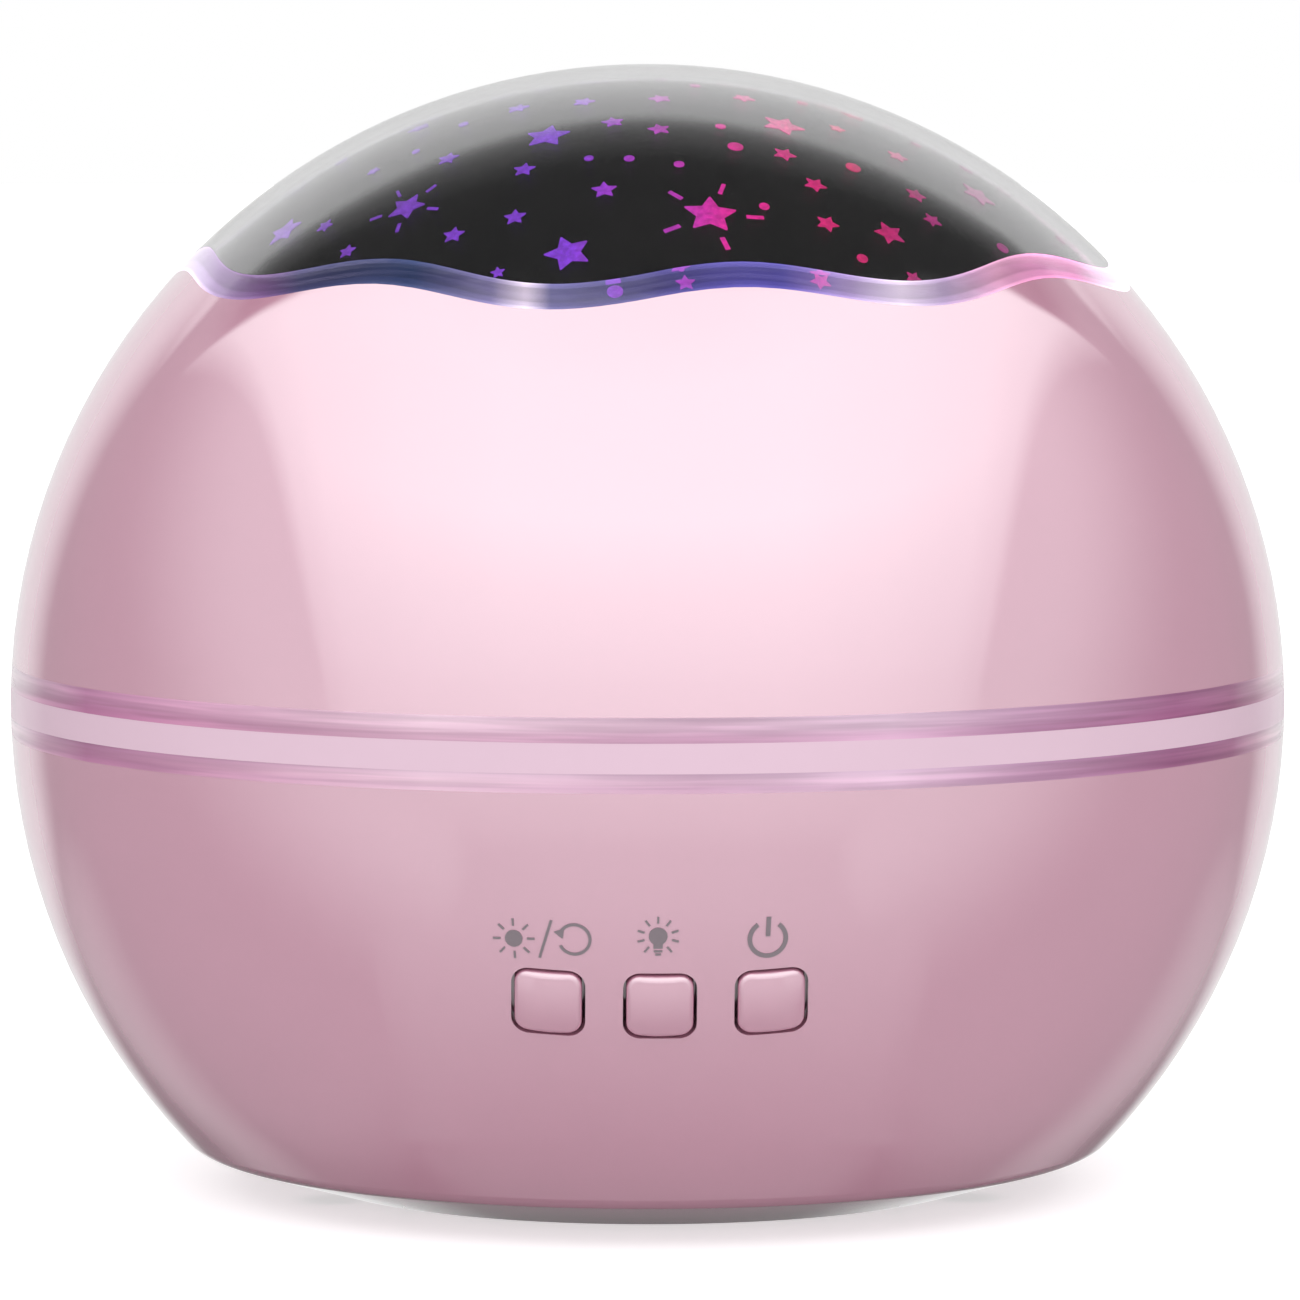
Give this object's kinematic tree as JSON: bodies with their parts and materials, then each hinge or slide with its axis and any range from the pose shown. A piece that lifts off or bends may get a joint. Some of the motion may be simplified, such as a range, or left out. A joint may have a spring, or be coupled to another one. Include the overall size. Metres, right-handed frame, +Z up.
{
  "type": "star projector night lamp",
  "caption": "Ball-shaped bedside star projector lamp with a lift-off shade, a turning star dome over coloured lights, push buttons at the front and a battery base.",
  "frame": {"origin": "on the table, under the ball's axis", "axes": "+Z up along the ball's axis, -Y towards the buttons, +X to the right of a person facing them"},
  "size_m": [0.125, 0.125, 0.11],
  "materials": {
    "pink_plastic": "polished pale pink moulded plastic",
    "pale_plastic": "pale pinkish white moulded plastic",
    "clear_plastic": "clear polished plastic",
    "star_film": "near-black glossy plastic printed all over but for clear stars",
    "white_nylon": "natural white nylon",
    "steel": "zinc-plated steel",
    "circuit_board": "green solder mask",
    "black_plastic": "black moulded plastic",
    "brass": "turned brass",
    "led_lens": "clear epoxy lens",
    "cell_wrap": "plain dark wrap over a steel can",
    "lead_sheath": "soft plastic sheath",
    "foot_rubber": "matt rubber"
  },
  "bodies": {
    "base": {"base_shell": "pink_plastic", "middle_frame": "pale_plastic", "lower_clear_ring": "clear_plastic", "thrust_washer": "white_nylon", "motor_body": "steel", "motor_screws": "steel", "motor_lead": "lead_sheath", "led_holder": "pale_plastic", "led_board": "circuit_board", "leds": "led_lens", "led_screws": "steel", "led_lead": "lead_sheath", "push_switches": "black_plastic", "switch_board": "circuit_board", "switch_board_screws": "steel", "switch_lead": "lead_sheath", "battery_tray": "pale_plastic", "battery_cells": "cell_wrap", "positive_contacts": "steel", "negative_contacts": "steel", "battery_lead": "lead_sheath", "main_board": "circuit_board", "main_board_screws": "steel", "lead_connectors": "white_nylon", "control_chip": "black_plastic", "capacitor": "black_plastic", "power_jack": "black_plastic", "jack_centre_pin": "brass", "frame_screws": "steel", "rubber_feet": "foot_rubber"},
    "cover": {"upper_clear_ring": "clear_plastic", "upper_shade": "pink_plastic", "wave_lip": "clear_plastic", "clear_dome": "clear_plastic"},
    "carousel": {"star_dome": "star_film", "turntable": "white_nylon"},
    "drive": {"pinion": "white_nylon", "motor_shaft": "steel"},
    "brightness_key": {"button_brightness": "pink_plastic", "plunger_brightness": "black_plastic"},
    "colour_key": {"button_colour": "pink_plastic", "plunger_colour": "black_plastic"},
    "power_key": {"button_power": "pink_plastic", "plunger_power": "black_plastic"},
    "door": {"battery_door": "pink_plastic", "battery_door_screw": "steel"}
  },
  "joints": [
    {"name": "cover_lift", "type": "slide", "parent": "base", "child": "cover", "axis": [0, 0, 1], "range_m": [0, 0.065]},
    {"name": "carousel_spin", "type": "hinge", "parent": "base", "child": "carousel", "pos_m": [0, 0, 0.0558], "axis": [0, 0, 1], "continuous": true},
    {"name": "drive_spin", "type": "hinge", "parent": "base", "child": "drive", "pos_m": [0, 0.0312, 0.0512], "axis": [0, 0, 1], "continuous": true},
    {"name": "brightness_press", "type": "slide", "parent": "base", "child": "brightness_key", "axis": [0, 0.9314, 0.3641], "range_m": [0, 0.0006], "stiffness_N_per_m": 400},
    {"name": "colour_press", "type": "slide", "parent": "base", "child": "colour_key", "axis": [0, 0.9314, 0.3641], "range_m": [0, 0.0006], "stiffness_N_per_m": 400},
    {"name": "power_press", "type": "slide", "parent": "base", "child": "power_key", "axis": [0, 0.9314, 0.3641], "range_m": [0, 0.0006], "stiffness_N_per_m": 400},
    {"name": "door_drop", "type": "slide", "parent": "base", "child": "door", "axis": [0, 0, -1], "range_m": [0, 0.03]}
  ],
  "couplings": [
    {"joint": "drive_spin", "follows": "carousel_spin", "ratio": -3.3333}
  ]
}
